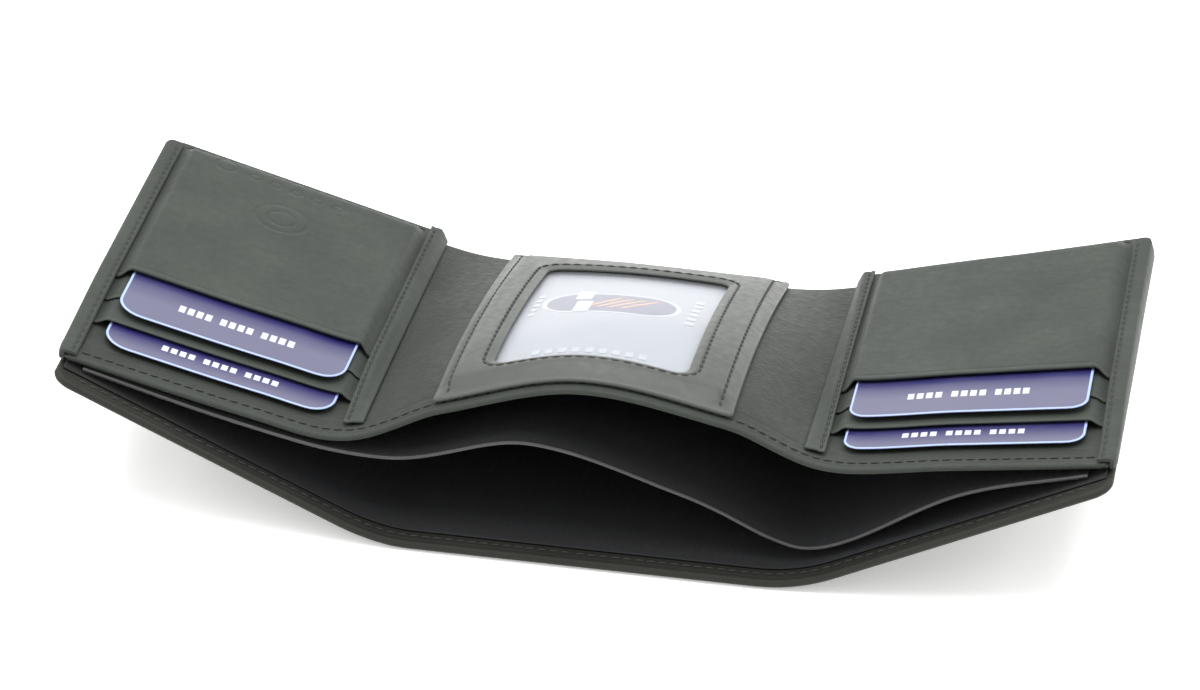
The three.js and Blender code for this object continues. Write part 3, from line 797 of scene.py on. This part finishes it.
def plate(name, x0, x1, v0, v1, r, mat, lift, thick, shear=0.0):
    ob = patch(
        name, liner, lines(x0, x1, 0.9, extra=(x0 + r / 2, x0 + r, x1 - r, x1 - r / 2)),
        lines(v0, v1, 0.9, extra=(v0 + r / 2, v0 + r, v1 - r, v1 - r / 2)), lift, lift + thick, mat,
        (r, r, r, r), soft=(0, 0, 0, 0), shear=shear,
    )
    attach(ob, "centre")


plate("insert_ring", -17.4, 13.6, 39.0, 57.0, 8.6, EMBOSS, 1.0, 0.04)
plate("insert_emblem", -16.3, 12.5, 40.2, 55.8, 7.5, INK, 1.04, 0.03)
for k in range(4):
    x0, x1 = -1.0 + 2.7 * k, 0.1 + 2.7 * k
    plate(f"insert_stripe_{k + 1}", x0, x1, 43.5, 52.5, 0.4, ORANGE, 1.07, 0.03, shear=-0.75)
blocks = [(-10.5, -6.8, 37.5, 8.0), (-9.6, -6.0, 47.2, 9.4)]
blocks += [(-13.6 + 2.9 * k, -11.9 + 2.9 * k, 83.2, 2.8) for k in range(9)]
blocks += [(15.6, 17.6, 36.0 + 3.8 * k, 2.6) for k in range(6)]
blocks += [(-19.4, -17.9, 40.0 + 3.8 * k, 2.6) for k in range(5)]
for k, (a, b, v, w) in enumerate(blocks):
    plate(f"insert_relief_{k + 1}", a, b, v, v + w, 0.4, EMBOSS, 1.07, 0.05)

xs, vs = lines(-26.2, 26.2, 1.6, 0.15, 0.15), lines(12, 95, 1.8, 0.15, 0.15)
ob = patch("plastic_film", liner, xs, vs, 1.5, 1.8, FILM, (1, 1, 1, 1))
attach(ob, "centre")
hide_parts("window_film")


def loop(half, far, near, r):
    """Points round a rounded rectangle, always in the same order and number."""
    long_steps, short_steps, corner_steps = 44, 26, 6
    centres = (
        (half - r, far + r, 270), (half - r, near - r, 0),
        (-half + r, near - r, 90), (-half + r, far + r, 180),
    )
    out = []
    for cx, cv, start in centres:
        turns = [math.radians(start + 90 * k / corner_steps) for k in range(corner_steps + 1)]
        out.append([(cx + r * math.cos(t), cv + r * math.sin(t)) for t in turns])
    round_it = []
    for k in range(4):
        a, b = out[k][-1], out[(k + 1) % 4][0]
        n = long_steps if k % 2 == 0 else short_steps
        round_it += out[k]
        round_it += [(mix(a[0], b[0], t), mix(a[1], b[1], t)) for t in np.linspace(0, 1, n + 1)[1:-1]]
    return np.array(round_it)


def frame_solid():
    half, far, near, r = WINDOW
    tops = []
    for d in (0.0, 0.06, 0.2, 0.42, 0.7, 1.1, 1.6, 1.9, 2.1, 2.3, 2.6, 3.1, 3.4):
        tops.append((loop(half + d, far - d, near + d, r + d), d, 9.0))
    inner = tops[-1][0]
    rest = loop(FRAME_HALF - 3.9, 3.9, FRAME_END - 3.9, 0.9)
    for t in (0.2, 0.4, 0.6, 0.8):
        tops.append((mix(inner, rest, t), 5.0, 5.0))
    for d in (3.9, 3.6, 3.4, 3.2, 3.0, 2.8, 2.4, 1.8, 1.2, 0.6, 0.36, 0.17, 0.04, 0.0):
        tops.append((loop(FRAME_HALF - d, d, FRAME_END - d, max(0.9 - d, 0.25) + 0.2), 9.0, d))
    up, down, uv, wear = [], [], [], []
    for pts, d_in, d_out in tops:
        x, v = pts[:, 0], pts[:, 1]
        low = frame_bottom(x, v)
        lip = 0.42 * (1 - ease(np.full(x.shape, d_in), 0.3, 2.0))
        lip = lip + crease(d_in, 2.1, 0.24, 0.3) + crease(np.abs(x), 29.4, 0.2, 0.26)
        high = low + FRAME_T - lip + 0.05 * ripple(x, v, 2.0)
        f = min(
            max(0.25, math.sqrt(1 - (1 - min(d_in / 0.42, 1)) ** 2)),
            max(0.25, math.sqrt(1 - (1 - min(d_out / 0.6, 1)) ** 2)),
        )
        middle, h = (high + low) / 2, (high - low) / 2 * f
        up.append(place(liner, x, v, middle + h))
        down.append(place(liner, x, v, middle - h))
        uv.append(pts / 100)
        wear += [math.exp(-min(d_in, d_out) / 1.2)] * len(pts)
    n, m = len(tops), len(tops[0][0])
    verts = np.concatenate([*up, *down])
    faces = []
    for i in range(n - 1):
        for j in range(m):
            k = (j + 1) % m
            a, b, c, e = i * m + j, i * m + k, (i + 1) * m + k, (i + 1) * m + j
            faces.append((a, b, c, e))
            faces.append((e + n * m, c + n * m, b + n * m, a + n * m))
    for i in (0, n - 1):
        for j in range(m):
            k = (j + 1) % m
            a, b = i * m + j, i * m + k
            faces.append((a, a + n * m, b + n * m, b) if i == 0 else (b, b + n * m, a + n * m, a))
    uv = np.concatenate(uv)
    uv = np.concatenate([uv, uv + 0.41])
    return finish_mesh("leather_frame", verts, faces, GLOSSY, uv, wear + wear)


ob = frame_solid()
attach(ob, "centre")
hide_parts("window_frame")
for word, s in SIDES.items():
    row = np.linspace(1.2, FRAME_END - 1.2, 50)
    ob = stitches(f"frame_stitches_{word}", liner, 29.4 * s + 0 * row, row, on_frame, THREAD)
    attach(ob, "centre")
    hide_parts(f"frame_seam_{word}")
row = np.linspace(-31.4, 31.4, 50)
ob = stitches("far_stitches_centre", liner, row, 2.2 + 0 * row, on_frame_edge, THREAD)
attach(ob, "centre")
half, far, near, r = WINDOW
ring = loop(half + 2.3, far - 2.3, near + 2.3, r + 2.3)
ring = np.concatenate([ring, ring[:1]])
ob = stitches("window_stitches", liner, ring[:, 0], ring[:, 1], on_frame, THREAD)
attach(ob, "centre")
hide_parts("window_seam")

# ------------------------------------------------------------------ floor, light and camera
floor = plain(
    "studio_floor", (0.93, 0.93, 0.925), 0.8, 0.004, 3.0,
    Emission_Color=(1, 1, 0.985, 1), Emission_Strength=0.3,
)
me = bpy.data.meshes.new("floor")
me.from_pydata([(-3, -3, -0.0003), (3, -3, -0.0003), (3, 3, -0.0003), (-3, 3, -0.0003)], [], [(0, 1, 2, 3)])
me.uv_layers.new(name="UVMap")
me.materials.append(floor)
ground = bpy.data.objects.new("floor", me)
bpy.context.scene.collection.objects.link(ground)

world = bpy.data.worlds.new("studio")
bpy.context.scene.world = world
world.use_nodes = True
world.node_tree.nodes["Background"].inputs["Color"].default_value = (1, 1, 1, 1)
world.node_tree.nodes["Background"].inputs["Strength"].default_value = 1.02


def lamp(name, at, size, watts):
    """A square lamp that faces the origin."""
    data = bpy.data.lights.new(name, "AREA")
    data.shape, data.size, data.energy = "SQUARE", size, watts
    ob = bpy.data.objects.new(name, data)
    ob.location = at
    ob.rotation_mode = "QUATERNION"
    ob.rotation_quaternion = (-Vector(at)).to_track_quat("-Z", "Y")
    bpy.context.scene.collection.objects.link(ob)


lamp("softbox_top", (-0.05, 0.25, 1.25), 1.4, 22)
lamp("softbox_left", (-1.2, -0.2, 0.8), 0.8, 6)
lamp("softbox_right", (1.1, 0.2, 0.8), 0.8, 5)

turn, tilt, roll = math.radians(9.22), math.radians(34.59), math.radians(0.69)
across, rise, away = -2.72, 17.81, 1280.3
right = Vector((math.cos(turn), math.sin(turn), 0))
back = Vector((math.sin(turn) * math.cos(tilt), -math.cos(turn) * math.cos(tilt), math.sin(tilt)))
up = back.cross(right)
right, up = right * math.cos(roll) + up * math.sin(roll), up * math.cos(roll) - right * math.sin(roll)
spot = (right * across + up * rise + back * away + Vector((0, -1.9, 0))) / 1000
data = bpy.data.cameras.new("camera")
data.lens, data.sensor_width, data.sensor_fit = 170.4, 36, "HORIZONTAL"
data.dof.use_dof = False
camera = bpy.data.objects.new("camera", data)
camera.matrix_world = Matrix((
    (right.x, up.x, back.x, spot.x),
    (right.y, up.y, back.y, spot.y),
    (right.z, up.z, back.z, spot.z),
    (0, 0, 0, 1),
))
bpy.context.scene.collection.objects.link(camera)
bpy.context.scene.camera = camera
bpy.context.scene.view_settings.view_transform = "Standard"
